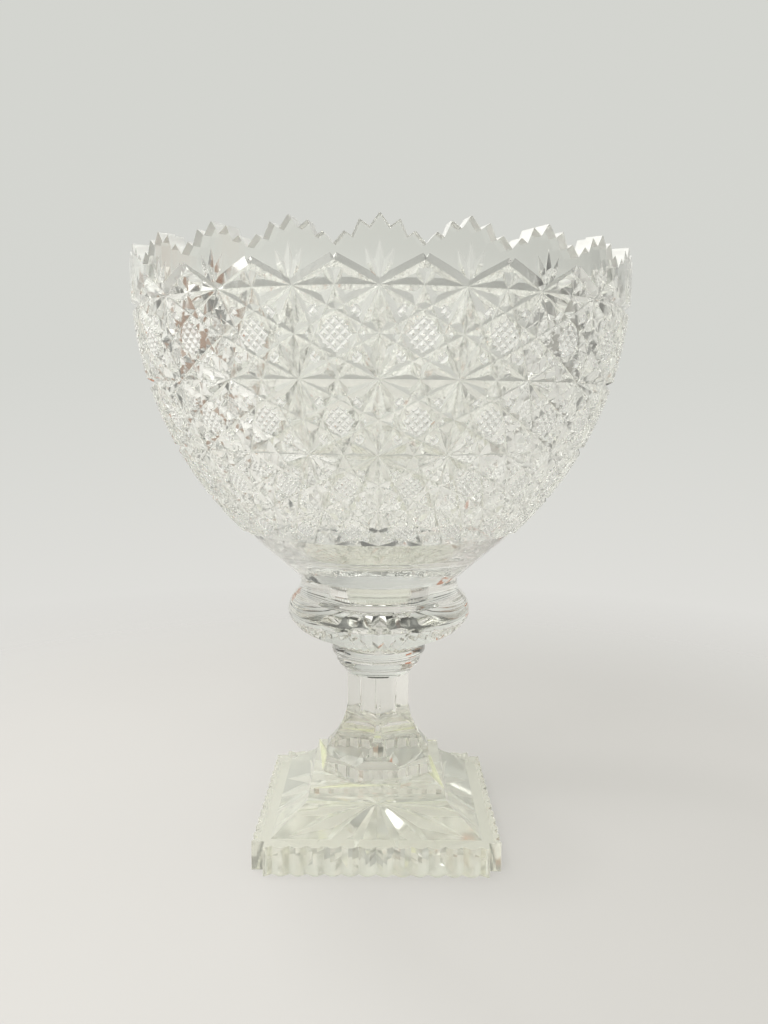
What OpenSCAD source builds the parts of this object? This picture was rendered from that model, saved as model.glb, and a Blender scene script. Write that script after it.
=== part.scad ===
// Pedestal punch bowl in cut glass: a deep scalloped bowl that lifts off its stand.
// The stand is a fluted knop, two collars, a square stem and a stepped square foot.
// Origin: centre of the foot's underside. +Z is up, and -Y is the front.

/* [Bowl] */
// Scallops round the rim, and panels round the lower bowl
columns = 22; // [18:2:26]
// Outer radius of the bowl at its widest
rim_r = 129; // [108:1:154]
// Height of the bowl from its seat to the tallest tooth
bowl_h = 167.5; // [150:0.5:201]
// Depth of the plain band above the curved side
rim_band = 12; // [10:0.5:16]
// Radius of the curved side, seen in section
side_arc_r = 180; // [170:1:216]
// Radius where the curved side meets the plain funnel
funnel_r = 75; // [64:1:90]
// Thickness of the bowl's wall
wall = 8; // [6.5:0.5:10]
// Thickness of glass under the bowl's inner floor
floor_t = 15.5; // [13:0.5:18]
// Radius of the hollow corner round the inner floor
floor_corner = 12; // [8:1:14]
// Radius of the bowl's base where it sits on the stand
seat_r = 43; // [38:0.5:46]

/* [Rim teeth] */
// How far each scallop falls from its middle to its ends
scallop_drop = 11.5; // [8:0.5:14]
// Depth of the notch beside each tooth
tooth_notch = 4.5; // [3:0.5:6]
// Where the tooth beside the middle one stands, as a share of a scallop from its middle
middle_tooth = 0.22; // [0.18:0.01:0.26]

/* [Ground joint] */
// Radius of the peg under the bowl
peg_r = 18; // [15:0.5:21.5]
// Length of the peg
peg_l = 17; // [14:0.5:20.5]
// Air gap between the peg and its socket
peg_gap = 0.3; // [0.25:0.05:0.5]

/* [Knop and collars] */
// Height of the knop
knop_h = 36.5; // [34:0.5:44]
// Radius of the knop at its widest
knop_r = 50; // [47:0.5:60]
// Flutes round the lower half of the knop
flutes = 44; // [36:2:52]
// Depth of a flute
flute_depth = 2.2; // [1.5:0.1:2.6]
// Radius of the upper collar
upper_collar_r = 26; // [25:0.5:31]
// Height of the upper collar
upper_collar_h = 8; // [6.5:0.5:9.5]
// Height of the lower collar
lower_collar_h = 9.5; // [8:0.5:11.5]

/* [Stem] */
// Height of the stem with its flared foot
stem_h = 54.5; // [45:0.5:65]
// Distance from the stem's axis to its narrow corner faces
stem_r = 17; // [15:0.5:20]
// Width of each narrow corner face
corner_w = 2.6; // [2:0.1:4]
// Distance from the axis to the faces of the flared foot
flare_r = 28.3; // [25:0.1:33]
// How far the flare's faces are hollowed
flare_bow = 2.6; // [1.5:0.1:3.5]
// Height of the upright edge and the splay under the flare
flare_edge_h = 7; // [6:0.5:9]

/* [Foot] */
// Height of the stepped block
block_h = 19; // [16:0.5:23]
// Half the width of the block's top
block_top = 35.5; // [32:0.5:38]
// Half the width of the block under its cove
block_mid = 41; // [39:0.5:45]
// How far the block's cove is hollowed
block_bow = 1.4; // [0.8:0.1:2]
// Half the width of the block where its slopes meet the slab
block_low = 54; // [50:0.5:57]
// Half the width of the square slab
slab_half = 63.5; // [60:0.5:76]
// Height of the slab
slab_h = 15; // [12.5:0.5:18]
// Notches along each side of the slab
slab_notches = 13; // [9:2:15]
// Depth of a notch
notch_depth = 2.4; // [1.8:0.1:3]
// Size of the square step cut out of each corner
corner_step = 6.5; // [5:0.5:8]
// Rays of the star cut under the slab
star_rays = 16; // [12:4:24]
// Depth of the star at its centre
star_depth = 3; // [2:0.5:4]

/* [Hidden] */
clear_glass = [0.86, 0.89, 0.87, 0.5];
foot_glass = [0.80, 0.86, 0.79, 0.6];
$fn = 96;
arc_steps = 24;
over = 1;

// Heights, each counted up from the piece below.
block_z = slab_h;
stem_z = block_z + block_h;
lower_collar_z = stem_z + stem_h;
upper_collar_z = lower_collar_z + lower_collar_h;
knop_z = upper_collar_z + upper_collar_h;
seat_z = knop_z + knop_h;
rim_z = seat_z + bowl_h;

// The curved side is one arc. Its centre is level with the bottom of the rim band.
arc_cx = rim_r - side_arc_r;
arc_cz = rim_z - rim_band;
funnel_angle = acos((funnel_r - arc_cx) / side_arc_r);
funnel_z = arc_cz - side_arc_r * sin(funnel_angle);

// Inside, the same arc set in by the wall ends over a cone that runs beside the funnel to the floor.
inner_arc_r = side_arc_r - wall;
inner_end = [arc_cx + inner_arc_r * cos(funnel_angle), arc_cz - inner_arc_r * sin(funnel_angle)];
floor_z = seat_z + floor_t;
funnel_slope = atan((funnel_z - seat_z) / (funnel_r - seat_r));
floor_r = inner_end[0] - (inner_end[1] - floor_z) / tan(funnel_slope);
floor_arc_cx = floor_r - floor_corner * tan(funnel_slope / 2);

column_w = 2 * rim_r * sin(180 / columns);
socket_r = peg_r + peg_gap;
socket_depth = peg_l + 2 * peg_gap;

// Turned outlines from the foot up. Each point is a share of the way out and a share of the height.
knop_outline = [
    [0, 0], [0.2, 0.08], [0.57, 0.18], [0.8, 0.27], [0.93, 0.39], [0.99, 0.42], [1, 0.52], [0.95, 0.72],
    [0.82, 0.88]
];
lower_collar_outline = [[0, 0], [0.35, 0.25], [0.63, 0.55], [0.81, 0.63], [1, 1]];
knop_foot_r = upper_collar_r + 1.5;
collar_foot_r = stem_r + 0.8;
collar_top_r = upper_collar_r - 2.5;

// Where the stem's hollows begin, and where the foot's cove runs, as shares of their heights.
corner_hollow = 0.27;
flat_hollow = 0.41;
cove_top_share = 0.88;
cove_low_share = 0.5;

// The splay under the stem's flare, and how far over it the two kinds of hollow end.
splay_out = 2;
corner_lip = 5;
flat_lip = 2;

// Points on an arc about (cx, cz), from angle a0 to angle a1, counted from +X.
function arc(cx, cz, r, a0, a1, n = arc_steps) =
    [for (i = [0 : n]) let (a = a0 + (a1 - a0) * i / n) [cx + r * cos(a), cz + r * sin(a)]];

// A hollow curve from (r0, z0) down to (r1, z1), bowed towards the axis.
function cove(r0, z0, r1, z1, bow, n = 12) =
    let (dx = r1 - r0, dz = z1 - z0, len = norm([dx, dz]))
    [for (i = [0 : n]) let (t = i / n, s = 4 * bow * t * (1 - t) / len)
        [r0 + dx * t + dz * s, z0 + dz * t - dx * s]];

function reversed(v) = [for (i = [len(v) - 1 : -1 : 0]) v[i]];

// Fall of a scallop's edge below its middle, at a share u of its width from that middle.
function scallop_fall(u) = 4 * scallop_drop * u * u;

module bowl_section() {
    polygon(concat(
        [[rim_r, rim_z + over]],
        arc(arc_cx, arc_cz, side_arc_r, 0, -funnel_angle),
        [[seat_r, seat_z], [peg_r, seat_z], [peg_r, seat_z - peg_l], [0, seat_z - peg_l]],
        [[0, floor_z]],
        arc(floor_arc_cx, floor_z + floor_corner, floor_corner, -90, funnel_slope - 90, 8),
        arc(arc_cx, arc_cz, inner_arc_r, -funnel_angle, 0),
        [[rim_r - wall, rim_z + over]]
    ));
}

// The glass ground away above one scallop's teeth, seen from outside. The blank stands over it.
module scallop_gap() {
    side_tooth = middle_tooth + (0.5 - middle_tooth) * 0.58;
    notch_1 = middle_tooth / 2;
    notch_2 = (middle_tooth + side_tooth) / 2;
    valley = 0.03;
    valley_rise = 0.4;
    blunt = 0.008;
    half = [
        [blunt, 0],
        [notch_1, scallop_fall(notch_1) + tooth_notch],
        [middle_tooth, scallop_fall(middle_tooth)],
        [notch_2, scallop_fall(notch_2) + tooth_notch],
        [side_tooth, scallop_fall(side_tooth)],
        [0.5 - valley, scallop_fall(0.5)],
        [0.5 + valley, scallop_fall(0.5) - valley_rise]
    ];
    right = [for (p = half) [p[0] * column_w, -p[1]]];
    left = [for (p = reversed(right)) [-p[0], p[1]]];
    top = [[right[6][0], 2 * over], [-right[6][0], 2 * over]];
    polygon(concat(left, right, top));
}

module bowl() {
    panel_tilt = atan((funnel_r - seat_r) / (funnel_z - seat_z));
    // A panel lies a hair under the corners of the many-sided funnel, so its sides meet in clean ridges.
    panel_inset = funnel_r * (1 - cos(180 / columns)) * cos(panel_tilt) + 0.1;
    panel_l = (funnel_z - seat_z) / cos(panel_tilt) + column_w / 2;
    color(clear_glass)
    difference() {
        rotate_extrude() bowl_section();
        for (i = [0 : columns - 1])
            rotate([0, 0, i * 360 / columns])
                translate([0, -rim_r + 2 * wall, rim_z])
                    rotate([90, 0, 0])
                        linear_extrude(height = 3 * wall) scallop_gap();
        for (i = [0 : columns - 1])
            rotate([0, 0, i * 360 / columns])
                translate([0, -seat_r, seat_z])
                    rotate([panel_tilt, 0, 0])
                        translate([-column_w / 2, panel_inset - wall, -wall])
                            cube([column_w, wall, panel_l + wall]);
    }
}

// Points of an outline of shares, from radius r0 at height z0 out to r1 and up by h.
function turned(outline, r0, r1, z0, h) = [for (p = outline) [r0 + p[0] * (r1 - r0), z0 + p[1] * h]];

module knop_section() {
    polygon(concat(
        [[0, knop_z]],
        turned(knop_outline, knop_foot_r, knop_r, knop_z, knop_h),
        [[seat_r, seat_z], [socket_r, seat_z], [socket_r, seat_z - socket_depth], [0, seat_z - socket_depth]]
    ));
}

module knop() {
    // A flute is cut along the line from just over the belt to just over the foot.
    flute_start = [knop_r + 1.5, knop_z + 0.44 * knop_h];
    flute_end = [knop_foot_r + 0.5, knop_z + 0.5];
    run = flute_end - flute_start;
    flute_w = PI * 2 * knop_r / flutes;
    flute_cut = [[-flute_w / 2, flute_depth], [0, -flute_depth], [flute_w / 2, flute_depth]];
    color(clear_glass)
    difference() {
        rotate_extrude() knop_section();
        for (i = [0 : flutes - 1])
            rotate([0, 0, i * 360 / flutes])
                translate([0, -flute_start[0], flute_start[1]])
                    rotate([-90 - atan(run[1] / run[0]), 0, 0])
                        linear_extrude(height = norm(run) + 2 * over) polygon(flute_cut);
    }
}

module upper_collar() {
    edge = upper_collar_h / 2;
    color(clear_glass)
    rotate_extrude()
        polygon(concat(
            [[0, upper_collar_z]],
            arc(upper_collar_r - edge, upper_collar_z + edge, edge, -90, 90),
            [[0, upper_collar_z + upper_collar_h]]
        ));
}

module lower_collar() {
    color(clear_glass)
    rotate_extrude()
        polygon(concat(
            [[0, lower_collar_z]],
            turned(lower_collar_outline, collar_foot_r, collar_top_r, lower_collar_z, lower_collar_h),
            [[0, upper_collar_z]]
        ));
}

// A bar along Y whose section is the profile of radii and heights with its mirror image.
module bar_of(profile, long) {
    points = concat(profile, [for (p = reversed(profile)) [-p[0], p[1]]]);
    translate([0, long / 2, 0]) rotate([90, 0, 0]) linear_extrude(height = long) polygon(points);
}

module stem() {
    flat_r = (stem_r + corner_w / 2) / sqrt(2);
    splay_top = stem_z + flare_edge_h;
    corner_start = lower_collar_z - corner_hollow * stem_h;
    flat_start = lower_collar_z - flat_hollow * stem_h;
    splay = [[flare_r + splay_out, stem_z], [flare_r, splay_top]];
    corner_cove = cove(stem_r, corner_start, flare_r, splay_top + corner_lip, flare_bow);
    flat_cove = cove(flat_r, flat_start, flare_r, splay_top + flat_lip, flare_bow);
    corner_line = concat(splay, reversed(corner_cove), [[stem_r, lower_collar_z]]);
    flat_line = concat(splay, reversed(flat_cove), [[flat_r, lower_collar_z]]);
    color(clear_glass)
    intersection() {
        bar_of(corner_line, 4 * flare_r);
        rotate([0, 0, 90]) bar_of(corner_line, 4 * flare_r);
        rotate([0, 0, 45]) bar_of(flat_line, 4 * flare_r);
        rotate([0, 0, -45]) bar_of(flat_line, 4 * flare_r);
    }
}

module foot_block() {
    cove_top = block_z + cove_top_share * block_h;
    cove_low = block_z + cove_low_share * block_h;
    side = concat(
        [[block_low, block_z]],
        reversed(cove(block_top, cove_top, block_mid, cove_low, block_bow, 6)),
        [[block_top, stem_z]]
    );
    color(foot_glass)
    intersection() {
        bar_of(side, 4 * block_low);
        rotate([0, 0, 90]) bar_of(side, 4 * block_low);
    }
}

// Outline of the slab: a square with a step out of each corner and a row of notches on each side.
module slab_outline() {
    run = slab_half - corner_step;
    pitch = 2 * run / slab_notches;
    side = [for (i = [0 : slab_notches - 1], p = [[0, 0], [0.5, notch_depth]])
        [-run + (i + p[0] + 0.25) * pitch, -slab_half + p[1]]];
    quarter = concat([[-run, -run], [-run, -slab_half]], side, [[run, -slab_half]]);
    polygon([for (turn = [0 : 3], p = quarter)
        [p[0] * cos(90 * turn) - p[1] * sin(90 * turn), p[0] * sin(90 * turn) + p[1] * cos(90 * turn)]]);
}

module foot_slab() {
    ray_reach = slab_half - corner_step;
    ray_w = 0.42 * 2 * PI * ray_reach / star_rays;
    ray_fall = atan(star_depth / ray_reach);
    ray_cut = [[-ray_w / 2, -star_depth - over], [0, 0], [ray_w / 2, -star_depth - over]];
    color(foot_glass)
    difference() {
        linear_extrude(height = slab_h) slab_outline();
        for (i = [0 : star_rays - 1])
            rotate([0, 0, (i + 0.5) * 360 / star_rays])
                translate([0, 0, star_depth])
                    rotate([90 + ray_fall, 0, 0])
                        linear_extrude(height = ray_reach) polygon(ray_cut);
    }
}

bowl();
knop();
upper_collar();
lower_collar();
stem();
foot_block();
foot_slab();
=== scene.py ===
# %% [markdown]
# A pedestal punch bowl in cut glass, made around a CAD frame.
# The frame says where every piece is and how the bowl lifts off its stand. Here each CAD piece is
# replaced by a finer one: the wheel-cut pattern, the toothed rim, the fluted knop and the rayed foot
# are all real facets. They could be bumps in a material instead, but glass shows a shape by how it
# bends light, and a bump doesn't bend what is seen through it the way a facet does.

# %% Load the frame
import math

import bmesh
import bpy
import numpy as np
from mathutils import Matrix, Vector
from mathutils.geometry import delaunay_2d_cdt


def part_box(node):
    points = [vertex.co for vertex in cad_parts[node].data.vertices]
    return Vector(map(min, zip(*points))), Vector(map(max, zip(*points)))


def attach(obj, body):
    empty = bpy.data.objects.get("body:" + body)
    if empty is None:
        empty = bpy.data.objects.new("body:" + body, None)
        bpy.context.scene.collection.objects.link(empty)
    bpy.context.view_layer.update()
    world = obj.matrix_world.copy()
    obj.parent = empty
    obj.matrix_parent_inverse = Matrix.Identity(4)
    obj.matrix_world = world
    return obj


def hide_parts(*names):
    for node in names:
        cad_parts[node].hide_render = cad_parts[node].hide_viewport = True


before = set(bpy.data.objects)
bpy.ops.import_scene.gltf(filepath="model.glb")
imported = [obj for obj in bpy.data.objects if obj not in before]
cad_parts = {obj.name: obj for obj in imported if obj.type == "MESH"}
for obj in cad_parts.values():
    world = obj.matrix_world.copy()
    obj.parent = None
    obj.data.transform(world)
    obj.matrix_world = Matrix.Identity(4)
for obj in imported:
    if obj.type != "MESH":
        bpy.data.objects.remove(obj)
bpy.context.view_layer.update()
mm = 0.001
print("pieces in the frame:", sorted(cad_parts))

# %% [markdown]
# The main sizes come from the frame's own boxes, in millimetres. They could be typed in, but then a
# change to the CAD model would leave this script behind. The few sizes that a box can't tell, such as
# the radius of the side's curve, are the CAD model's own values written again.


# %% Sizes of the object
def low_high(node):
    low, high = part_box(node)
    return low.z / mm, high.z / mm, high.x / mm


peg_z, rim_z, rim_r = low_high("bowl")
knop_z, seat_z, knop_r = low_high("knop")
upper_collar_z, _, upper_collar_r = low_high("upper_collar")
lower_collar_z, _, lower_collar_r = low_high("lower_collar")
stem_z, _, _ = low_high("stem")
block_z, _, block_low = low_high("foot_block")
slab_z, _, slab_half = low_high("foot_slab")

columns = 22
side_arc_r = 180
rim_band = 12
funnel_r = 75
wall = 8
floor_t = 15.5
seat_r = 43
peg_r = 18
peg_gap = 0.3
print(f"bowl {rim_z - seat_z:.1f} mm high over its seat and {2 * rim_r:.0f} mm across")

# %% [markdown]
# The bowl's side is one arc in section with a short upright band over it. A flat pattern could be
# wrapped round it by a modifier, but a formula is exact: every point of the cut pattern is placed by a
# distance along that line, and then sunk towards the arc's centre.

# %% The side's curve
arc_cx = rim_r - side_arc_r
arc_cz = rim_z - rim_band
funnel_angle = math.acos((funnel_r - arc_cx) / side_arc_r)


def side_point(run, sunk=0.0):
    """Radius and height on the side, at a distance along it below the rim band."""
    if run < 0:
        return rim_r - sunk, arc_cz - run
    angle = run / side_arc_r
    reach = side_arc_r - sunk
    return arc_cx + reach * math.cos(angle), arc_cz - reach * math.sin(angle)


def column_width(run):
    """How wide one of the columns is at that distance along the side."""
    return 2 * math.pi * side_point(run)[0] / columns


print(f"the side turns through {math.degrees(funnel_angle):.1f} degrees down to the funnel")


# %% [markdown]
# The cutter marks rows of stars so that each cell of the pattern keeps its shape while the bowl
# narrows: a cell is always 1.07 times as high as it is wide. Rows of even height would be simpler, but
# they would squash the lower stars. Adding up small steps gives the right rows.

# %% Rows of the pattern
cell_aspect = 1.07
rows = 4
first_row = math.radians(4.83) * side_arc_r
row_steps = 64
row_runs = [first_row]
for step in range(rows * row_steps):
    row_runs.append(row_runs[-1] + cell_aspect * column_width(row_runs[-1]) / row_steps)
rim_cell = column_width(first_row)
print("rows of stars at", [round(side_point(row_runs[k * row_steps])[1], 1) for k in range(rows + 1)])


def pattern_point(column, x, y, sunk, row=None):
    """A point of the pattern in space. Its unit is the width of a column, and y runs down."""
    if row is None:
        run, width = first_row + y * rim_cell, rim_cell
    else:
        run = float(np.interp((row + y / cell_aspect) * row_steps, range(len(row_runs)), row_runs))
        width = column_width(run)
    radius, height = side_point(run, sunk * width)
    turn = 2 * math.pi * (column + x) / columns - math.pi / 2
    return radius * math.cos(turn), radius * math.sin(turn), height


# %% [markdown]
# Wheel cuts are flat facets. They could be taken out of the glass with booleans, but thousands of
# those are slow and leave ragged edges. On the flattened pattern a facet is only a convex outline with
# a depth that changes evenly over it, and where two cuts cross the deeper one wins, just as it does on
# the wheel. So one rule makes the whole pattern: lay a facet over those that are there, and keep it
# wherever it goes deeper.

# %% Cutting convex outlines
NEAR = 1e-6


def halved(outline, line):
    """The part of a convex outline where a*x + b*y + c is above zero."""
    a, b, c = line
    side = [a * x + b * y + c for x, y in outline]
    side = [0.0 if abs(s) < NEAR else s for s in side]
    if max(side, default=0) <= 0:
        return []
    if min(side) >= 0:
        return outline
    kept = []
    for i, (p, s) in enumerate(zip(outline, side)):
        q, t = outline[(i + 1) % len(outline)], side[(i + 1) % len(outline)]
        if s >= 0:
            kept.append(p)
        if s * t < 0:
            share = s / (s - t)
            kept.append((p[0] + share * (q[0] - p[0]), p[1] + share * (q[1] - p[1])))
    return kept


def twice_area(outline):
    """Twice an outline's area, below zero if it runs clockwise."""
    return sum(p[0] * q[1] - q[0] * p[1] for p, q in zip(outline, outline[1:] + outline[:1]))


def borders(outline):
    """The lines along a convex outline, each above zero on its inner side."""
    way = 1 if twice_area(outline) > 0 else -1
    lines = []
    for p, q in zip(outline, outline[1:] + outline[:1]):
        long = math.hypot(q[0] - p[0], q[1] - p[1])
        if long < NEAR:
            continue
        a, b = -way * (q[1] - p[1]) / long, way * (q[0] - p[0]) / long
        lines.append((a, b, -a * p[0] - b * p[1]))
    return lines


def how_deep_in(outline, x, y):
    """How far a point is inside an outline, below zero if it is outside."""
    return min((a * x + b * y + c for a, b, c in borders(outline)), default=-1)


def flipped(line):
    return tuple(-part for part in line)


def grind(facets, outline, depth, finish):
    """Lays one facet over the others: the deeper surface stays."""
    lines = borders(outline)
    result = []
    for old_outline, old_depth, old_finish in facets:
        deeper = halved(old_outline, tuple(n - o for n, o in zip(depth, old_depth)))
        for line in lines:
            deeper = halved(deeper, line) if deeper else deeper
        if not deeper:
            result.append((old_outline, old_depth, old_finish))
            continue
        rest = old_outline
        for line in borders(deeper):
            cut_off = halved(rest, flipped(line))
            if cut_off:
                result.append((cut_off, old_depth, old_finish))
            rest = halved(rest, line)
        result.append((deeper, depth, finish))
    return result


# %% [markdown]
# A mitre wheel cuts a V. Its two sides are two facets that meet along the bottom of the cut. A cut
# may change its width along the way, and its depth changes with it. One function for all of them keeps
# stars, hatching, flutes and the foot's rays alike.

# %% A mitre cut
finishes = ("polished", "hatched", "band")
POLISHED, HATCHED, BAND = range(len(finishes))
print("finishes in the pattern:", finishes)


def mitre(facets, start, end, wide_start, wide_end, slope, finish=POLISHED):
    """Cuts a V from start to end, half as wide as given, and as deep as its slope makes it."""
    dx, dy = end[0] - start[0], end[1] - start[1]
    long = math.hypot(dx, dy)
    along = (dx / long, dy / long)
    narrowing = (wide_end - wide_start) / long
    for side in (1, -1):
        across = (-along[1] * side, along[0] * side)
        outline = [
            start,
            end,
            (end[0] + across[0] * wide_end, end[1] + across[1] * wide_end),
            (start[0] + across[0] * wide_start, start[1] + across[1] * wide_start),
        ]
        a = slope * (narrowing * along[0] - across[0])
        b = slope * (narrowing * along[1] - across[1])
        c = slope * wide_start - a * start[0] - b * start[1]
        facets = grind(facets, outline, (a, b, c), finish)
    return facets


# %% [markdown]
# One cell lies between two star columns and two star rows. Cuts run through each star along the row,
# along the column, and at two slopes between them. Where they cross they leave a button with eight
# sides, and on its flat top the wheel lays a fine crosshatch. The hatching could be a texture, but its
# lines are wide enough to sparkle, so they are cut too.

# %% One cell of stars and a button
cut_half = 0.074
cut_slope = 0.95
hatch_lines = 9
hatch_slope = 0.9
hatch_share = 0.34
hatch_past = 0.02
tall = cell_aspect

cell = [([(0, 0), (1, 0), (1, tall), (0, tall)], (0, 0, 0), POLISHED)]
through = [
    ((0, 0), (1, 0)), ((0, tall), (1, tall)), ((0, 0), (0, tall)), ((1, 0), (1, tall)),
    ((0, 0), (1, tall / 2)), ((1, 0), (0, tall / 2)),
    ((0, tall), (1, tall / 2)), ((1, tall), (0, tall / 2)),
    ((0, 0), (0.5, tall)), ((0.5, 0), (0, tall)), ((1, 0), (0.5, tall)), ((0.5, 0), (1, tall)),
]
for start, end in through:
    cell = mitre(cell, start, end, cut_half, cut_half, cut_slope)

button_r = 2 * (tall / 2) / math.hypot(2 * tall, 1) - cut_half
hatch_r = button_r + hatch_past
hatch_pitch = 2 * button_r / hatch_lines
middle = (0.5, tall / 2)
for k in range(hatch_lines + 1):
    off = (k - hatch_lines / 2) * hatch_pitch
    half_long = math.sqrt(max(hatch_r**2 - off**2, 0))
    for way in (1, -1):
        along = (math.sqrt(0.5), way * math.sqrt(0.5))
        across = (-along[1], along[0])
        base = (middle[0] + across[0] * off, middle[1] + across[1] * off)
        start = (base[0] - along[0] * half_long, base[1] - along[1] * half_long)
        end = (base[0] + along[0] * half_long, base[1] + along[1] * half_long)
        if half_long > hatch_pitch:
            wide = hatch_share * hatch_pitch
            cell = mitre(cell, start, end, wide, wide, hatch_slope, HATCHED)
print("facets in a cell:", len(cell))

# %% [markdown]
# The rim is sawn into a scallop over every cell, with five teeth on each, and then left as sawn. The
# teeth could be cut out of a finished bowl, but it is neater to know their line first and to make both
# faces of the wall reach exactly up to it.

# %% The rim's teeth
scallop_drop = 11.5
tooth_notch = 4.5
middle_tooth = 0.22
side_tooth_share = 0.58
side_tooth = middle_tooth + (0.5 - middle_tooth) * side_tooth_share
tooth_blunt = 0.008
strip_width = 0.04


def scallop_fall(u):
    return 4 * scallop_drop * u * u


def notch_at(u):
    return (u, scallop_fall(u) + tooth_notch)


teeth = [
    (0, 0),
    (tooth_blunt, 0),
    notch_at(middle_tooth / 2),
    (middle_tooth, scallop_fall(middle_tooth)),
    notch_at((middle_tooth + side_tooth) / 2),
    (side_tooth, scallop_fall(side_tooth)),
    (0.5, scallop_fall(0.5)),
]
teeth += [(1 - u, fall) for u, fall in reversed(teeth[:-1])]
strips = []
for (u0, _), (u1, _) in zip(teeth, teeth[1:]):
    parts = max(1, round((u1 - u0) / strip_width))
    strips += [u0 + (u1 - u0) * i / parts for i in range(parts)]
strips.append(1.0)


def rim_edge(u):
    """How far the rim's edge is over the top row at u, in column widths, as a negative y."""
    fall = np.interp(u, [t[0] for t in teeth], [t[1] for t in teeth])
    return float(-(first_row + rim_band - fall) / rim_cell)


print("corners along one scallop:", len(teeth), "and strips under them:", len(strips) - 1)

# %% [markdown]
# Over the top row the long sloping cuts meet in a point and stop, and three tapered flutes fan out of
# each star towards the rim. A flute is thin at the star, widest at its belly and thin again at its
# tip, so it is made of two mitre cuts, end to end.

# %% The fan over the top row
band_line = -first_row / rim_cell
teeth_margin = 0.03
under_teeth = max(rim_edge(u) for u, _ in teeth) + teeth_margin
fan = [([(0, 0), (1, 0), (1, under_teeth), (0, under_teeth)], (0, 0, 0), BAND)]
for (u0, _), (u1, _) in zip(teeth, teeth[1:]):
    upper = [(u0, under_teeth), (u1, under_teeth), (u1, rim_edge(u1)), (u0, rim_edge(u0))]
    fan.append((upper, (0, 0, 0), BAND))

apex = (0.5, -tall / 4)
fan = mitre(fan, (0, 0), (1, 0), cut_half, cut_half, cut_slope)
for star in (0, 1):
    fan = mitre(fan, (star, 0), apex, cut_half, cut_half, cut_slope)
    short_end = (0.5 + (star - 0.5) * 0.2, -0.2 * tall)
    fan = mitre(fan, (0.5, 0), short_end, cut_half, 0.03, cut_slope)

flute_wide = 0.05
flute_start = 0.02
flute_slope = 0.6
belly_at = 0.6
flutes_over_star = ((0, 0.47), (22, 0.42), (-22, 0.42))
for star in (0, 1):
    for lean, long in flutes_over_star:
        heading = math.radians(lean)
        tip = (star + long * math.sin(heading), -long * math.cos(heading))
        belly = (star + belly_at * (tip[0] - star), belly_at * tip[1])
        fan = mitre(fan, (star, 0), belly, flute_start, flute_wide, flute_slope)
        fan = mitre(fan, belly, tip, flute_wide, 0.0, flute_slope)
print("facets in a fan:", len(fan))

# %% [markdown]
# Facets that were cut at different times meet along edges where one side has more corners than the
# other, or just miss each other. Welding corners that are close leaves gaps, so Delaunay's method
# weaves all their edges into one net of triangles that share their corners. Blender's limited dissolve
# then joins the parts of a flat facet into one face.


# %% Closing up the pattern's edges
CORNER_GAP = 1e-4
FLAT_ENOUGH = 0.004


def in_whole_faces(facets, extra=(), upright=(), level=(), gap=CORNER_GAP, whole=True):
    """The facets as one closed sheet: (corner points with their depth, finish) for each face.
    Where a facet is plain the bowl's side is curved, so the net is cut finer there by set lines."""
    points, outlines = [Vector(p) for p in extra], []
    for outline, _, _ in facets:
        outlines.append(list(range(len(points), len(points) + len(outline))))
        points += [Vector(p) for p in outline[:: 1 if twice_area(outline) > 0 else -1]]
    xs, ys = [p.x for p in points], [p.y for p in points]
    lines = []
    cuts = [((x, min(ys)), (x, -cut_half)) for x in upright]
    cuts += [((min(xs), y), (max(xs), y)) for y in level]
    for ends in cuts:
        lines.append((len(points), len(points) + 1))
        points += [Vector(p) for p in ends]
    net, _, triangles, _, _, sources = delaunay_2d_cdt(points, lines, outlines, 0, gap)
    depths = [[] for _ in net]
    kept = []
    for triangle, source in zip(triangles, sources):
        if source:
            x, y = sum((net[i] for i in triangle), Vector((0, 0))) / 3
            under_it = [facets[i] for i in source]
            _, (a, b, c), finish = max(under_it, key=lambda facet: how_deep_in(facet[0], x, y))
            kept.append((triangle, finish))
            for i in triangle:
                depths[i].append(a * net[i].x + b * net[i].y + c)
    sheet = bpy.data.meshes.new("sheet")
    corners = [(p.x, p.y, max(sum(d) / len(d), 0.0) if d else 0.0) for p, d in zip(net, depths)]
    sheet.from_pydata(corners, [], [triangle for triangle, _ in kept])
    sheet.polygons.foreach_set("material_index", [finish for _, finish in kept])
    work = bmesh.new()
    work.from_mesh(sheet)
    bmesh.ops.recalc_face_normals(work, faces=work.faces)
    if whole:
        inner = [e for e in work.edges if all(f.material_index != BAND for f in e.link_faces)]
        bmesh.ops.dissolve_limit(
            work, angle_limit=FLAT_ENOUGH, verts=[], edges=inner, delimit={"MATERIAL"}
        )
    faces = [([tuple(v.co) for v in f.verts], f.material_index) for f in work.faces]
    work.free()
    bpy.data.meshes.remove(sheet)
    return faces


# %% [markdown]
# A cell meets its neighbours along its four sides, so the corners on one side have to be matched on
# the other. Every corner on a side is handed over, with its mirror image, before the nets are woven.


# %% The cell and the fan as closed sheets
def border_corners(facets, heights):
    """Corners on the two upright sides and on the level lines at these heights, and their mirror images."""
    found = set()
    for outline, _, _ in facets:
        for x, y in outline:
            if min(abs(x), abs(1 - x)) < CORNER_GAP or any(abs(y - h) < CORNER_GAP for h in heights):
                found |= {(x, y), (1 - x, y)}
    return found


cell_border = border_corners(cell, (0, tall))
fan_border = border_corners(fan, (0,))
cell_border |= {(x, 0) for x, y in fan_border if abs(y) < CORNER_GAP}
cell_border |= {(x, tall - y) for x, y in cell_border}
fan_border |= {(x, 0) for x, y in cell_border if abs(y) < CORNER_GAP}
cell = in_whole_faces(cell, cell_border)
level_shares = (0.35, 0.7, 1)
levels_over = [band_line * share for share in level_shares]
fan = in_whole_faces(fan, fan_border, strips[1:-1], levels_over)
print("faces in a cell and in a fan:", len(cell), len(fan))

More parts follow.
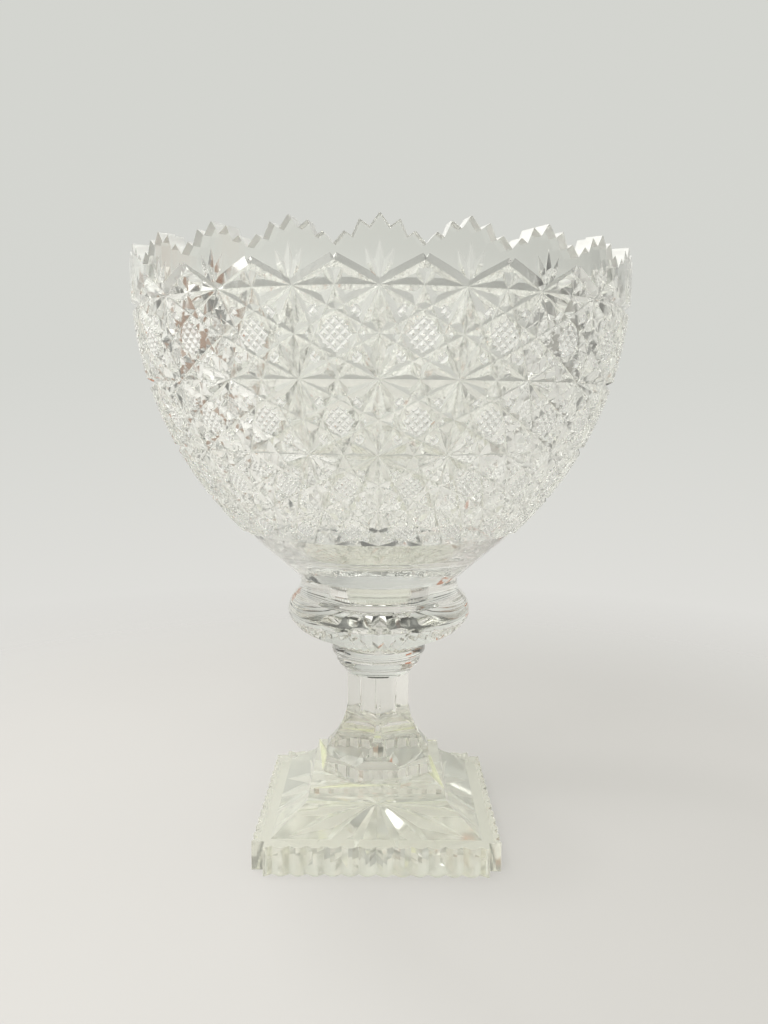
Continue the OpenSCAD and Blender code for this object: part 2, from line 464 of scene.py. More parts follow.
# %% [markdown]
# Every piece is collected face by face and then turned into one mesh. Corners that fall together are
# welded, all faces are turned outwards, and an edge stays sharp only if its faces really meet at an
# angle, so that facets look ground flat while curved glass looks smooth. Open edges are counted, as
# light goes astray in them.


# %% Making a mesh
slots = ("polished", "wheel cut", "hatched or sawn", "joined inside")
GLASS, CUT, HATCH, WELD = range(len(slots))
print("finishes of a piece, in order:", slots)


def placed(name, data):
    """A new object in the scene that shows this mesh, lamp or camera."""
    made = bpy.data.objects.new(name, data)
    bpy.context.scene.collection.objects.link(made)
    return made


class Shape:
    """Faces gathered by their corners, in millimetres."""

    def __init__(self):
        self.corners, self.faces, self.slots = [], [], []

    def add(self, points, slot=GLASS):
        start = len(self.corners)
        self.corners += [tuple(p) for p in points]
        self.faces.append(tuple(range(start, start + len(points))))
        self.slots.append(slot)

    def ring_faces(self, rings, slot=GLASS, closed=True):
        """Four-sided faces between rings that have as many points each."""
        for upper, lower in zip(rings, rings[1:]):
            count = len(upper)
            for i in range(count if closed else count - 1):
                j = (i + 1) % count
                self.add([upper[i], upper[j], lower[j], lower[i]], slot)

    def make(self, name, sharp=12.0, weld=0.002):
        mesh = bpy.data.meshes.new(name)
        mesh.from_pydata(self.corners, [], self.faces)
        mesh.polygons.foreach_set("material_index", self.slots)
        work = bmesh.new()
        work.from_mesh(mesh)
        bmesh.ops.remove_doubles(work, verts=work.verts, dist=weld)
        bmesh.ops.dissolve_degenerate(work, edges=work.edges, dist=weld)
        bmesh.ops.triangulate(work, faces=work.faces)
        bmesh.ops.recalc_face_normals(work, faces=work.faces)
        open_edges = sum(not e.is_manifold for e in work.edges)
        bmesh.ops.scale(work, vec=(mm, mm, mm), verts=work.verts)
        work.to_mesh(mesh)
        work.free()
        mesh.shade_smooth()
        mesh.set_sharp_from_angle(angle=math.radians(sharp))
        piece = placed(name, mesh)
        print(f"{name}: {len(mesh.polygons)} faces, {open_edges} open edges")
        return piece


def circle(radius, height, count, start=0.0):
    return [
        (
            radius * math.cos(2 * math.pi * (i + start) / count - math.pi / 2),
            radius * math.sin(2 * math.pi * (i + start) / count - math.pi / 2),
            height,
        )
        for i in range(count)
    ]


# %% [markdown]
# The bowl's outside is the cell repeated round four rows with the fan over them. An array modifier
# could repeat it, but the cell also has to shrink and to bend from row to row, so each copy's corners
# are worked out one by one.

# %% The bowl's outside
bowl = Shape()
finish_slot = {POLISHED: CUT, HATCHED: HATCH, BAND: GLASS}
for column in range(columns):
    for corners, finish in fan:
        bowl.add([pattern_point(column, *corner) for corner in corners], finish_slot[finish])
    for row in range(rows):
        for corners, finish in cell:
            bowl.add([pattern_point(column, *corner, row) for corner in corners], finish_slot[finish])
print("faces of the bowl's pattern:", len(bowl.faces))

# %% [markdown]
# Under the pattern the glass is cut to broad flat panels, one under each star, down to the seat and
# its ground peg. Small spandrels fill the space between the panels' tops and the last row of cuts.

# %% The funnel's panels and the peg
bowl_seat_z = seat_z + 0.1
cut_depth = cut_half * cut_slope
quarters = 4
panel_turn = math.pi / columns
last = [pattern_point(0, x, cell_aspect, cut_depth, rows - 1) for x in (0.0, 0.5)]
funnel_top_r = math.hypot(last[0][0], last[0][1])
funnel_top_z = last[0][2]
panel_r = seat_r * math.cos(panel_turn)
spandrel = 2.6
ridge_z = funnel_top_z - spandrel


def panel_at(column, share, height):
    """A point on a panel at a share of its width from its middle, from -0.5 to 0.5."""
    middle_r = panel_r + (funnel_top_r - panel_r) * (height - bowl_seat_z) / (funnel_top_z - bowl_seat_z)
    off = 2 * share * middle_r * math.tan(panel_turn)
    turn = 2 * math.pi * column / columns - math.pi / 2
    return (
        middle_r * math.cos(turn) - off * math.sin(turn),
        middle_r * math.sin(turn) + off * math.cos(turn),
        height,
    )


bottom_x = sorted({round(x, 5) for corners, _ in cell for x, y, _ in corners if y > tall - 1e-5})
shares = [k / quarters - 0.5 for k in range(quarters + 1)]
seat_line = []
for column in range(columns):
    top = panel_at(column, 0, funnel_top_z)
    for side in (-1, 1):
        ridge = panel_at(column, side * 0.5, ridge_z)
        foot = [panel_at(column, side * s, bowl_seat_z) for s in (0.5, 0.25, 0)]
        bowl.add([top, ridge, *foot])
        edge_x = [x for x in bottom_x if x <= 0.5] if side > 0 else [x for x in bottom_x if x >= 0.5]
        edge_column = column if side > 0 else column - 1
        edge = [pattern_point(edge_column, x, tall, cut_depth, rows - 1) for x in edge_x]
        bowl.add([*edge, ridge])
    seat_line += [panel_at(column, s, bowl_seat_z) for s in shares[:-1]]

ring_count = columns * quarters
peg_start = -quarters / 2
peg_chamfer = 0.8
peg_rings = [
    seat_line,
    circle(peg_r, bowl_seat_z, ring_count, peg_start),
    circle(peg_r, peg_z + peg_chamfer, ring_count, peg_start),
    circle(peg_r - peg_chamfer, peg_z, ring_count, peg_start),
]
bowl.ring_faces(peg_rings)
bowl.add(peg_rings[-1])
print(f"funnel {funnel_top_z - bowl_seat_z:.1f} mm high, {2 * funnel_top_r:.1f} mm across at its top")

# %% [markdown]
# Inside, the bowl is plain and polished. It could be a simple turned shape, but its rings are divided
# at the same strips as the rim, so that the teeth's sawn faces join the outer edge to the inner one
# without a seam.

# %% The bowl's inside and the rim
inner_arc_r = side_arc_r - wall
floor_z = seat_z + floor_t
floor_corner = 12
funnel_z = arc_cz - side_arc_r * math.sin(funnel_angle)
funnel_slope = math.atan2(funnel_z - seat_z, funnel_r - seat_r)
inner_profile = [
    (arc_cx + inner_arc_r * math.cos(a), arc_cz - inner_arc_r * math.sin(a))
    for a in np.linspace(0, funnel_angle, 40)
]
floor_r = inner_profile[-1][0] - (inner_profile[-1][1] - floor_z) / math.tan(funnel_slope)
corner_cx = floor_r - floor_corner * math.tan(funnel_slope / 2)
inner_profile += [
    (corner_cx + floor_corner * math.sin(a), floor_z + floor_corner * (1 - math.cos(a)))
    for a in np.linspace(funnel_slope, 0, 12)
]
turns = [
    2 * math.pi * (column + u) / columns - math.pi / 2 for column in range(columns) for u in strips[:-1]
]
falls = [rim_edge(u) for _ in range(columns) for u in strips[:-1]]


def turned(radius, heights):
    return [(radius * math.cos(t), radius * math.sin(t), z) for t, z in zip(turns, heights)]


edge_heights = [side_point(first_row + y * rim_cell)[1] for y in falls]
outer_edge = turned(rim_r, edge_heights)
inner_edge = turned(rim_r - wall, edge_heights)
inner_rings = [turned(r, [z] * len(turns)) for r, z in inner_profile]
bowl.ring_faces([outer_edge, inner_edge], HATCH)
bowl.ring_faces([inner_edge, *inner_rings])
bowl.add(inner_rings[-1])
bowl_piece = bowl.make("cut_bowl")

# %% [markdown]
# The turned parts of the stand have soft curves through a few known points. A Bezier curve object
# would do, but a short formula keeps every ring where the flutes need it.


# %% Smooth profiles
def smooth_through(points, parts=9):
    """A smooth line through points, by Catmull and Rom's rule."""
    padded = [points[0], *points, points[-1]]
    line = []
    for p0, p1, p2, p3 in zip(padded, padded[1:], padded[2:], padded[3:]):
        for i in range(parts):
            t = i / parts
            line.append(
                tuple(
                    b
                    + (c - a) * t / 2
                    + (2 * a - 5 * b + 4 * c - d) * t**2 / 2
                    + (3 * b - a - 3 * c + d) * t**3 / 2
                    for a, b, c, d in zip(p0, p1, p2, p3)
                )
            )
    return line + [points[-1]]


print("points in a line through three:", len(smooth_through([(0, 0), (1, 1), (2, 0)])))

# %% [markdown]
# The knop is turned glass with a socket in its top. Round its lower half run mitre flutes, side by
# side, so their sides meet in sharp ridges and their tops make a row of points. Each ring of the lower
# half goes in and out by the depth of the flutes, which gives clean facets without any cutting.

# %% The knop
flutes = 44
flute_slope_knop = 0.63
flute_depth = 2.2
flute_run_in = 1.3
flute_lift = 0.55
knop_h = seat_z - knop_z
belt_z = knop_z + 0.41 * knop_h
shoulder = [
    (seat_r, seat_z),
    (seat_r + 0.4, knop_z + 0.88 * knop_h),
    (seat_r + 1.9, knop_z + 0.79 * knop_h),
    (seat_r + 4.6, knop_z + 0.71 * knop_h),
    (knop_r - 0.8, knop_z + 0.62 * knop_h),
    (knop_r, knop_z + 0.5 * knop_h),
    (knop_r - 0.5, belt_z),
]
under = [
    (knop_r - 0.5, belt_z),
    (knop_r - 2.2, knop_z + 0.35 * knop_h),
    (knop_r - 5.4, knop_z + 0.24 * knop_h),
    (knop_r - 10.5, knop_z + 0.15 * knop_h),
    (upper_collar_r + 5, knop_z + 0.05 * knop_h),
    (upper_collar_r + 1.5, knop_z),
]
knop_count = flutes * 4
knop = Shape()
shoulder_line = smooth_through(shoulder)
socket = [(peg_r + peg_gap, seat_z), (peg_r + peg_gap, peg_z - peg_gap), (0.001, peg_z - peg_gap)]
socket_rings = [circle(r, z, knop_count) for r, z in reversed(socket)]
knop.add(socket_rings[0])
knop.ring_faces(socket_rings + [circle(r, z, knop_count) for r, z in shoulder_line])


def knop_level(radius, height, sunk):
    """One ring of the fluted part: each flute's bottom is sunk and its ridges stand."""
    points = []
    for i in range(knop_count):
        lowered = sunk * (1 - abs((i % 4) - 2) / 2) if i % 4 else 0.0
        turn = 2 * math.pi * i / knop_count - math.pi / 2
        r = radius - lowered
        points.append((r * math.cos(turn), r * math.sin(turn), height + flute_lift * lowered))
    return points


under_line = smooth_through(under, 5)
levels = []
for i, (r, z) in enumerate(under_line):
    fitting = flute_slope_knop * math.pi * r / flutes
    levels.append(knop_level(r, z, 0.0 if i == 0 else min(flute_depth, fitting, flute_run_in * i)))
knop.ring_faces(levels)
weld_r = upper_collar_r - 4
weld_ring = circle(weld_r, knop_z, knop_count)
knop.ring_faces([levels[-1], weld_ring])
knop.add(weld_ring, WELD)
knop_piece = knop.make("fluted_knop", sharp=14)

# %% [markdown]
# The collars are turned rings. Where two pieces of the stand were joined hot there is no surface
# inside the glass at all. The pieces could be made one mesh, but they stay apart here as they do in
# the CAD model, and the faces they share get a finish that light passes straight through.

# %% The collars
collar_count = 128
ring_r = (knop_z - upper_collar_z) / 2
upper = Shape()
upper_profile = [
    (upper_collar_r - ring_r + ring_r * math.cos(a), upper_collar_z + ring_r + ring_r * math.sin(a))
    for a in np.linspace(-math.pi / 2, math.pi / 2, 33)
]
upper_rings = [circle(r, z, collar_count) for r, z in upper_profile]
upper.add(upper_rings[0], WELD)
upper.ring_faces(upper_rings)
upper.add(upper_rings[-1], WELD)
upper_piece = upper.make("upper_ring", sharp=30)

stem_r = 17
corner_w = 2.6
flat_r = (stem_r + corner_w / 2) / math.sqrt(2)
lower = Shape()
collar_h = upper_collar_z - lower_collar_z
lower_profile = [
    (stem_r + 0.8, lower_collar_z),
    (stem_r + 1.6, lower_collar_z + 0.1 * collar_h),
    (stem_r + 2.9, lower_collar_z + 0.3 * collar_h),
    (stem_r + 4.6, lower_collar_z + 0.5 * collar_h),
    (stem_r + 4.9, lower_collar_z + 0.6 * collar_h),
    (stem_r + 5.9, lower_collar_z + 0.66 * collar_h),
    (lower_collar_r, upper_collar_z - 0.6),
    (lower_collar_r - 0.3, upper_collar_z),
    (weld_r, upper_collar_z),
]


def eight_sides(corner_reach, flat_reach, height):
    """Section of the stem: narrow faces square to the axes and broad ones between them."""
    short = min(flat_reach * math.sqrt(2) - corner_reach, corner_reach)
    quarter = [(short, -corner_reach), (corner_reach, -short)]
    points = []
    for _ in range(4):
        points += [(x, y, height) for x, y in quarter]
        quarter = [(-y, x) for x, y in quarter]
    return points


def spread(points, parts):
    """More points along the straight sides of a ring."""
    full = []
    for p, q in zip(points, points[1:] + points[:1]):
        full += [tuple(a + (b - a) * i / parts for a, b in zip(p, q)) for i in range(parts)]
    return full


stem_top = eight_sides(stem_r, flat_r, lower_collar_z)
foot_ring = spread(stem_top, collar_count // 8)
lower_rings = [foot_ring]
for r, z in [(stem_r + 0.8, lower_collar_z), *lower_profile[1:]]:
    lower_rings.append([(r * x / math.hypot(x, y), r * y / math.hypot(x, y), z) for x, y, _ in foot_ring])
lower.add(foot_ring, WELD)
lower.ring_faces(lower_rings)
lower.add(lower_rings[-1], WELD)
lower_piece = lower.make("lower_ring", sharp=20)

# %% [markdown]
# The stem is square and stands corner to the front. Its faces run down in hollow curves into a flared
# foot with eight sides. Each height is one ring of eight corners, and the faces between the rings give
# the whole piece, with its edges as crisp as the wheel leaves them.

# %% The stem
stem_h = lower_collar_z - stem_z
flare_r = 28.3
flare_bow = 2.6
edge_h = 7
stem_step = 1.6
bow_gain = 5


def hollow(height, high, high_r, low, low_r, bow):
    """Radius of a hollow curve at a height: straight over it, and bowed towards the axis."""
    if height >= high:
        return high_r
    if height <= low:
        return low_r
    t = (high - height) / (high - low)
    return high_r + (low_r - high_r) * t - bow_gain * bow * t * (1 - t)


splay_top = stem_z + edge_h
corner_start = lower_collar_z - 0.27 * stem_h
flat_start = lower_collar_z - 0.41 * stem_h
stem_heights = sorted(
    {stem_z, splay_top, splay_top + 2, splay_top + 5, flat_start, corner_start, lower_collar_z}
    | {round(z, 3) for z in np.arange(splay_top + 6, corner_start, stem_step)}
)
stem = Shape()
stem_rings = []
for z in stem_heights:
    splay = 2 * (splay_top - z) / edge_h if z < splay_top else 0
    corner_reach = hollow(z, corner_start, stem_r, splay_top + 5, flare_r, flare_bow) + splay
    flat_reach = hollow(z, flat_start, flat_r, splay_top + 2, flare_r, flare_bow) + splay
    stem_rings.append(eight_sides(corner_reach, flat_reach, z))
stem.add(stem_rings[0], WELD)
stem.ring_faces(stem_rings)
stem.add(stem_rings[-1], WELD)
stem_piece = stem.make("square_stem", sharp=16)

# %% [markdown]
# The foot has two parts. The upper one, the block, is a square pyramid cut off at the top, with a
# hollow cove round its head. Square rings of the right sizes are all that it needs.


# %% The foot's block
def square(half, height):
    return [(-half, -half, height), (half, -half, height), (half, half, height), (-half, half, height)]


block_h = stem_z - block_z
block_top, block_mid = 35.5, 41
cove_bow = 1.4
cove_top = stem_z - 0.12 * block_h
cove_low = block_z + 0.5 * block_h
block = Shape()
block_rings = [square(block_low, block_z), square(block_mid, cove_low)]
for t in np.linspace(0, 1, 7)[1:]:
    r = block_mid + (block_top - block_mid) * t - 4 * cove_bow * t * (1 - t)
    block_rings.append(square(r, cove_low + (cove_top - cove_low) * t))
block_rings.append(square(block_top, stem_z))
block.add(spread(block_rings[0], 2), WELD)
block.ring_faces([spread(ring, 2) for ring in block_rings])
stem_foot = eight_sides(flare_r + 2, flare_r + 2, stem_z)
top_ring = spread(block_rings[-1], 2)
for i in range(8):
    j = (i + 1) % 8
    block.add([top_ring[i], top_ring[j], stem_foot[j], stem_foot[i]])
block.add(stem_foot, WELD)
block_piece = block.make("foot_block_cut", sharp=16)

# %% [markdown]
# The slab has a step cut out of every corner, a row of upright notches on each side, and a rayed star
# ground into its underside, which shows through the sloping glass above. The star is made by the same
# mitre cuts as the bowl's pattern, and one side is made and turned to all four.

# %% The foot's slab
corner_step = 6.5
notches = 13
notch_depth = 2.4
core = slab_half - corner_step
pitch = 2 * core / notches
side_line = [(-core, 0.0)]
for i in range(notches):
    for share, sunk in ((0.12, 0.0), (0.5, notch_depth), (0.88, 0.0)):
        side_line.append((-core + (i + share) * pitch, sunk))
side_line.append((core, 0.0))

star_rays = 16
star_deep = 3.0
star_half = 6.5
belly_share, tip_share = 0.55, 0.99
slab_gap = 0.004
star_facets = [([(-core, -core), (core, -core), (core, core), (-core, core)], (0, 0, 0), POLISHED)]
for i in range(star_rays):
    turn = 2 * math.pi * (i + 0.5) / star_rays
    out = (math.cos(turn), math.sin(turn))
    belly, tip = belly_share * core, tip_share * core
    at = [(out[0] * d, out[1] * d) for d in (0, belly, tip)]
    star_facets = mitre(star_facets, at[0], at[1], star_half, star_half, star_deep / star_half)
    star_facets = mitre(star_facets, at[1], at[2], star_half, 0.0, star_deep / star_half)


def turned_quarter(point, quarter):
    x, y, z = point
    for _ in range(quarter):
        x, y = -y, x
    return x, y, z


on_border = {(x, -core) for x, _ in side_line}
star_corners = {point for outline, _, _ in star_facets for point in outline}
on_border |= {(x, y) for x, y in star_corners if max(abs(x), abs(y)) > core - 0.001}
border = [turned_quarter((*point, 0), quarter)[:2] for quarter in range(4) for point in sorted(on_border)]
star_sheet = in_whole_faces(star_facets, border, gap=slab_gap, whole=False)
border_x = sorted({x for corners, _ in star_sheet for x, y, _ in corners if y < 0.001 - core})
slab = Shape()
for corners, _ in star_sheet:
    slab.add([(x, y, deep + slab_z) for x, y, deep in corners])
seat_half = block_low
top_z = block_z
for quarter in range(4):
    for (x0, s0), (x1, s1) in zip(side_line, side_line[1:]):
        between = [x for x in border_x if x0 + 0.001 < x < x1 - 0.001]
        outer = [(x1, -slab_half + s1), (x0, -slab_half + s0)]
        for height, inner_x in ((slab_z, [x0, *between, x1]), (top_z, [x0, x1])):
            ring = [(x, -core) for x in inner_x] + outer
            slab.add([turned_quarter((x, y, height), quarter) for x, y in ring])
        wall_line = [(*outer[i], z) for i, z in ((1, top_z), (0, top_z), (0, slab_z), (1, slab_z))]
        slab.add([turned_quarter(p, quarter) for p in wall_line])
    inset = seat_half / core
    top_inner = [turned_quarter((x, -core, top_z), quarter) for x, _ in side_line]
    top_weld = [turned_quarter((x * inset, -seat_half, top_z), quarter) for x, _ in side_line]
    slab.ring_faces([top_inner, top_weld], closed=False)
    for x in (-core, core):
        step = [(x, -core, slab_z), (x, -slab_half, slab_z), (x, -slab_half, top_z), (x, -core, top_z)]
        slab.add([turned_quarter(p, quarter) for p in step])
weld_outline = [
    turned_quarter((x * seat_half / core, -seat_half, top_z), quarter)
    for quarter in range(4)
    for x, _ in side_line[:-1]
]
slab.add(weld_outline, WELD)
slab_piece = slab.make("foot_slab_cut", sharp=10)

# %% [markdown]
# Shader nodes could be added and linked one at a time, but they are easier to read as sums. The first
# small class wraps a socket, so that `a * 0.5 + b` adds the two Math nodes it stands for, and the
# second adds any other node.


# %% Shader maths
class Socket:
    """A value in a material that can be added and multiplied."""

    def __init__(self, tree, source):
        self.tree, self.source = tree, source

    def math(self, operation, other, swapped=False):
        values = [other, self] if swapped else [self, other]
        return self.tree.node("ShaderNodeMath", {"operation": operation}, dict(enumerate(values)))[0]

    def __add__(self, other):
        return self.math("ADD", other)

    def __radd__(self, other):
        return self.math("ADD", other, True)

    def __sub__(self, other):
        return self.math("SUBTRACT", other)

    def __rsub__(self, other):
        return self.math("SUBTRACT", other, True)

    def __mul__(self, other):
        return self.math("MULTIPLY", other)

    def __rmul__(self, other):
        return self.math("MULTIPLY", other, True)


class Tree:
    """The nodes of a material or a world."""

    def __init__(self, owner):
        owner.use_nodes = True
        self.nodes, self.links = owner.node_tree.nodes, owner.node_tree.links
        self.nodes.clear()

    def node(self, kind, settings=None, inputs=None):
        """Adds a node: its settings first, then its sockets' values or links."""
        made = self.nodes.new(kind)
        for name, value in (settings or {}).items():
            if name == "stops":
                ramp = made.color_ramp
                for place, colour in value[1:-1]:
                    ramp.elements.new(place)
                for element, (place, colour) in zip(ramp.elements, value):
                    element.position, element.color = place, (*colour, 1)
            else:
                setattr(made, name, value)
        for name, value in (inputs or {}).items():
            if isinstance(value, Socket):
                self.links.new(value.source, made.inputs[name])
            else:
                made.inputs[name].default_value = value
        return [Socket(self, out) for out in made.outputs]


# %% [markdown]
# Old lead glass is almost clear, with a breath of yellow and green that is stronger in the thick foot.
# A hand-polished surface isn't perfect: it waves a little, and it carries faint wear, and a facet that
# was only ground is slightly milky. Lamps would need thousands of samples to find their way through
# cut glass, so a lamp's shadow and light that bounces off the floor pass it with only a faint loss.


# %% Glass finishes
lamp_passing = (0.90, 0.90, 0.895)
cloud_scale, wear_scale, ripple_scale = 18, 160, 70
ripple_high = 0.0004
lead_glass_ior = 1.52


def glass(name, tint, tint_deep, rough, rough_more, wave, clearness):
    """Clear glass whose tint, polish and waviness change a little over its surface."""
    material = bpy.data.materials.new(name)
    tree = Tree(material)
    where = tree.node("ShaderNodeTexCoord")[3]
    cloud = tree.node("ShaderNodeTexNoise", {}, {"Vector": where, "Scale": cloud_scale, "Detail": 2})[0]
    wear = tree.node("ShaderNodeTexNoise", {}, {"Vector": where, "Scale": wear_scale, "Detail": 3})[0]
    ripple = tree.node("ShaderNodeTexNoise", {}, {"Vector": where, "Scale": ripple_scale, "Detail": 1})[0]
    colour = tree.node(
        "ShaderNodeMix",
        {"data_type": "RGBA"},
        {0: cloud, 6: (*tint, 1), 7: (*tint_deep, 1)},
    )[2]
    waves = {"Strength": wave, "Distance": ripple_high, "Height": ripple}
    normal = tree.node("ShaderNodeBump", {}, waves)[0]
    clear = tree.node(
        "ShaderNodeBsdfPrincipled",
        {},
        {
            "Base Color": colour,
            "Roughness": wear * rough_more + rough,
            "Normal": normal,
            "IOR": lead_glass_ior,
            "Transmission Weight": clearness,
        },
    )[0]
    path = tree.node("ShaderNodeLightPath")
    is_shadow, is_diffuse = path[1], path[2]
    skip = is_shadow.math("MAXIMUM", is_diffuse)
    through = tree.node("ShaderNodeBsdfTransparent", {}, {"Color": (*lamp_passing, 1)})[0]
    mixed = tree.node("ShaderNodeMixShader", {}, {0: skip, 1: clear, 2: through})[0]
    tree.node("ShaderNodeOutputMaterial", {}, {"Surface": mixed})
    return material


glasses = (
    ("polished_clear_glass", (0.992, 0.995, 0.968), (0.982, 0.986, 0.945), 0.004, 0.012, 0.05, 1.0),
    ("wheel_cut_glass", (0.985, 0.988, 0.96), (0.965, 0.972, 0.93), 0.02, 0.11, 0.05, 0.82),
    ("ground_hatching", (0.96, 0.96, 0.945), (0.92, 0.925, 0.90), 0.3, 0.15, 0.1, 0.5),
    ("pale_green_glass", (0.96, 0.965, 0.885), (0.935, 0.94, 0.835), 0.02, 0.06, 0.12, 0.86),
)
polished, wheel_cut, hatch_glass, foot_glass = (glass(*values) for values in glasses)

joined = bpy.data.materials.new("joined_inside")
joined_tree = Tree(joined)
nothing = joined_tree.node("ShaderNodeBsdfTransparent", {}, {"Color": (1, 1, 1, 1)})[0]
joined_tree.node("ShaderNodeOutputMaterial", {}, {"Surface": nothing})
print("glass finishes:", [values[0] for values in glasses])

# %% [markdown]
# Each piece takes its finishes in the order of its slots, rides on its body, and hides the CAD
# solid that it replaces.

# %% Pieces on their bodies
fitted = [
    (bowl_piece, "bowl", "bowl", "clear_glass", polished),
    (knop_piece, "stand", "knop", "clear_glass", polished),
    (upper_piece, "stand", "upper_collar", "clear_glass", polished),
    (lower_piece, "stand", "lower_collar", "clear_glass", polished),
    (stem_piece, "stand", "stem", "clear_glass", polished),
    (block_piece, "stand", "foot_block", "foot_glass", foot_glass),
    (slab_piece, "stand", "foot_slab", "foot_glass", foot_glass),
]
for piece, body, node, slot, finish in fitted:
    for material in (finish, wheel_cut, hatch_glass, joined):
        piece.data.materials.append(material)
    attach(piece, body)
    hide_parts(node)
print("pieces fitted:", [row[0].name for row in fitted])

# %% [markdown]
# Clear glass has no colour of its own: what is seen in it is the room. So the world has two looks. The
# camera and the floor get a pale wall, the same all round. Rays that went through the glass or bounced
# off it meet a darker room at the front, to the sides and high up, which gives the facets contrast.


# %% The room
def eased(tree, value, start, end):
    """Rises softly from 0 to 1 while the value goes from start to end."""
    ends = {0: value, 1: start, 2: end, 3: 0.0, 4: 1.0}
    return tree.node("ShaderNodeMapRange", {"interpolation_type": "SMOOTHSTEP"}, ends)[0]


wall_colour = (0.665, 0.672, 0.638)
sky_colour = (0.64, 0.65, 0.61)
low_colour = (0.76, 0.75, 0.72)
world = bpy.data.worlds.new("pale_wall")
bpy.context.scene.world = world
sky = Tree(world)
heading = sky.node("ShaderNodeTexCoord")[0]
right, away, up = sky.node("ShaderNodeSeparateXYZ", {}, {0: heading})
shade = sky.node(
    "ShaderNodeValToRGB",
    {"stops": [(0.0, low_colour), (0.36, low_colour), (0.52, wall_colour), (1.0, sky_colour)]},
    {0: up * 0.5 + 0.5},
)[0]
path = sky.node("ShaderNodeLightPath")
to_camera, to_floor = path[0], path[2]
seen_in_glass = (1 - to_camera) * (1 - to_floor)
room_dark, high_dark, left_brighter = 0.86, 0.5, 0.3
sides = eased(sky, away, 0.62, 0.2) * eased(sky, up, 0.0, 0.2)
over_the_sweep = eased(sky, up, 0.4, 0.58) * high_dark
room = sides.math("MAXIMUM", over_the_sweep) * seen_in_glass
sideways = 1 - right * seen_in_glass * left_brighter
brightness = (1 - room * room_dark) * sideways
backdrop = sky.node("ShaderNodeBackground", {}, {"Color": shade, "Strength": brightness})[0]
sky.node("ShaderNodeOutputWorld", {}, {"Surface": backdrop})
print("the room has", len(sky.nodes), "nodes")

# %% [markdown]
# The bowl stands on a white sweep. A real one is bent up at the back, but here a flat disc is enough:
# it melts into the wall with distance, so that no edge shows.

# %% The floor
floor_r = 1.5
fade_start, fade_end = 0.22, 0.7
paper_tones = ((0.52, 0.508, 0.497), (0.545, 0.532, 0.521))
floor_mesh = bpy.data.meshes.new("floor")
work = bmesh.new()
bmesh.ops.create_circle(work, cap_ends=True, radius=floor_r, segments=96)
work.to_mesh(floor_mesh)
work.free()
floor = placed("floor", floor_mesh)
floor.location.z = -0.0002
floor_finish = bpy.data.materials.new("white_sweep")
paper = Tree(floor_finish)
spot = paper.node("ShaderNodeTexCoord")[3]
far = paper.node("ShaderNodeVectorMath", {"operation": "LENGTH"}, {0: spot})[1]
fade = eased(paper, far, fade_start, fade_end)
grain = paper.node("ShaderNodeTexNoise", {}, {"Vector": spot, "Scale": 5, "Detail": 3})[0]
tones = {0: grain, 6: (*paper_tones[0], 1), 7: (*paper_tones[1], 1)}
paper_colour = paper.node("ShaderNodeMix", {"data_type": "RGBA"}, tones)[2]
matt = paper.node("ShaderNodeBsdfPrincipled", {}, {"Base Color": paper_colour, "Roughness": 0.9})[0]
gone = paper.node("ShaderNodeBsdfTransparent")[0]
sheet = paper.node("ShaderNodeMixShader", {}, {0: fade, 1: matt, 2: gone})[0]
paper.node("ShaderNodeOutputMaterial", {}, {"Surface": sheet})
floor.data.materials.append(floor_finish)
print("floor disc:", floor_r * 2, "m across, faded out by", fade_end, "m")

# %% [markdown]
# Two soft lamps light the sweep: one high at the back on the left, which throws the bowl's shadow to
# the right, and a large one in front. Glossy and transmitted rays don't see them, because a small
# bright lamp seen through cut glass turns into noise.


# %% Lamps
def lamp(name, place, target, size, watts, colour):
    light = bpy.data.lights.new(name, "AREA")
    light.shape, light.size, light.energy, light.color = "DISK", size, watts, colour
    holder = placed(name, light)
    holder.location = place
    holder.rotation_euler = (Vector(target) - Vector(place)).to_track_quat("-Z", "Y").to_euler()
    return holder


middle_of_bowl = (0, 0, 0.2)
key = lamp("key_lamp", (-0.55, 0.3, 1.35), middle_of_bowl, 0.3, 9, (1.0, 0.985, 0.96))
fill = lamp("fill_lamp", (-0.5, -1.0, 1.4), middle_of_bowl, 0.8, 18, (1.0, 0.99, 0.97))
for light in (key, fill):
    light.visible_glossy = light.visible_transmission = False
print("lamps:", [light.name for light in (key, fill)])

# %% [markdown]
# Glass is drawn by what it reflects, so cards stand round it that are seen only in the glass. Two
# bright ones are windows. A row of dark and brown strips on either side gives the bowl's left and
# right their dark and amber sparks, and two small ones behind put coloured spots in the knop.


# %% Cards
def screen(name, place, wide, high, colour):
    """An upright card that faces the bowl and is seen only in the glass."""
    mesh = bpy.data.meshes.new(name)
    half = wide / 2
    corners = [(-half, 0, -high / 2), (half, 0, -high / 2), (half, 0, high / 2), (-half, 0, high / 2)]
    mesh.from_pydata(corners, [], [(0, 1, 2, 3)])
    card = placed(name, mesh)
    card.location = place
    card.rotation_euler.z = math.atan2(place[1], place[0]) - math.pi / 2
    finish = bpy.data.materials.new(name)
    tree = Tree(finish)
    glow = tree.node("ShaderNodeEmission", {}, {"Color": (*colour, 1), "Strength": 1.0})[0]
    tree.node("ShaderNodeOutputMaterial", {}, {"Surface": glow})
    mesh.materials.append(finish)
    card.visible_camera = False
    card.visible_diffuse = False
    card.visible_shadow = False
    return card


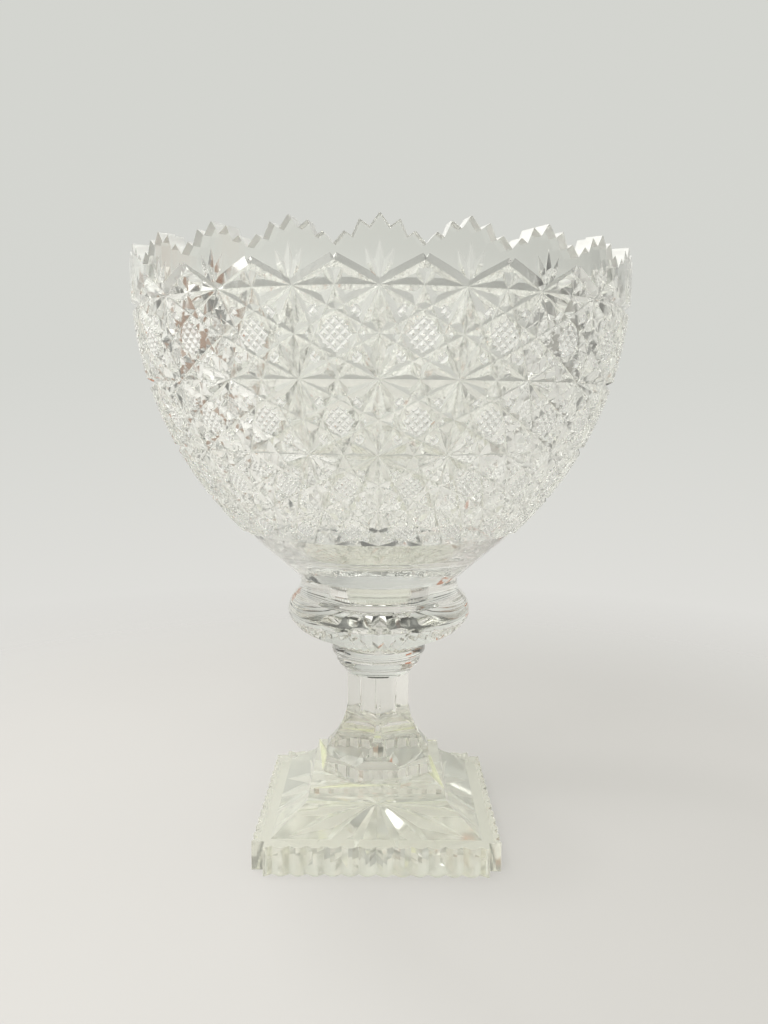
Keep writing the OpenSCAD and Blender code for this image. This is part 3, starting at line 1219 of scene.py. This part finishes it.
def around(degrees, distance, height):
    """A place round the bowl, at an angle from straight behind it, to the right."""
    turn = math.radians(degrees)
    return (distance * math.sin(turn), distance * math.cos(turn), height)


dark, brown, dusk = (0.025, 0.025, 0.025), (0.26, 0.11, 0.04), (0.12, 0.11, 0.09)
card_rows = {-1: (dark, brown, brown, dark, brown), 1: (dark, dark, dusk, dark, dark)}
first_strip, strip_turn, strip_away = 64, 13, 1.2
screens = [
    screen("window_back", (-0.75, 0.4, 1.2), 0.8, 0.8, (1.6, 1.6, 1.55)),
    screen("window_front", (-0.9, -1.3, 1.3), 0.9, 0.8, (2.0, 2.0, 1.95)),
    screen("grey_card_back", around(34, 0.45, 0.17), 0.1, 0.1, (0.015, 0.02, 0.025)),
    screen("orange_card_back", around(-34, 0.45, 0.17), 0.1, 0.1, (0.45, 0.11, 0.02)),
]
for side, colours in card_rows.items():
    for k, colour in enumerate(colours):
        name = f"strip_{'left' if side < 0 else 'right'}_{k + 1}"
        place = around(side * (first_strip + strip_turn * k), strip_away, 0.55)
        screens.append(screen(name, place, 0.25, 1.1, colour))
print("cards:", len(screens))

# %% [markdown]
# The camera stands half a metre in front, at about three quarters of the bowl's height, and looks
# slightly down. It is held a shade off level, as a hand-held camera is. Light gets many bounces, as
# it has to pass a lot of facets before it leaves the glass.

# %% The camera
lens = bpy.data.cameras.new("camera")
lens.sensor_fit = "AUTO"
lens.sensor_width = 36
lens.lens = 31.7
lens.clip_start = 0.02
camera = placed("camera", lens)
tip_down = math.radians(6.825)
roll = math.radians(0.45)
stands_at = (0.0025, -0.4914, 0.2359)
bounces = 40
camera.matrix_world = (
    Matrix.Translation(stands_at)
    @ Matrix.Rotation(math.pi / 2 - tip_down, 4, "X")
    @ Matrix.Rotation(roll, 4, "Z")
)
bpy.context.scene.camera = camera
bpy.context.scene.view_settings.view_transform = "Standard"
cycles = bpy.context.scene.cycles
cycles.max_bounces = cycles.transmission_bounces = cycles.glossy_bounces = bounces
cycles.transparent_max_bounces = 32
print(f"camera {lens.lens} mm, tipped down by {math.degrees(tip_down):.2f} degrees")

# %% Bringing the scene up to date
bpy.context.view_layer.update()
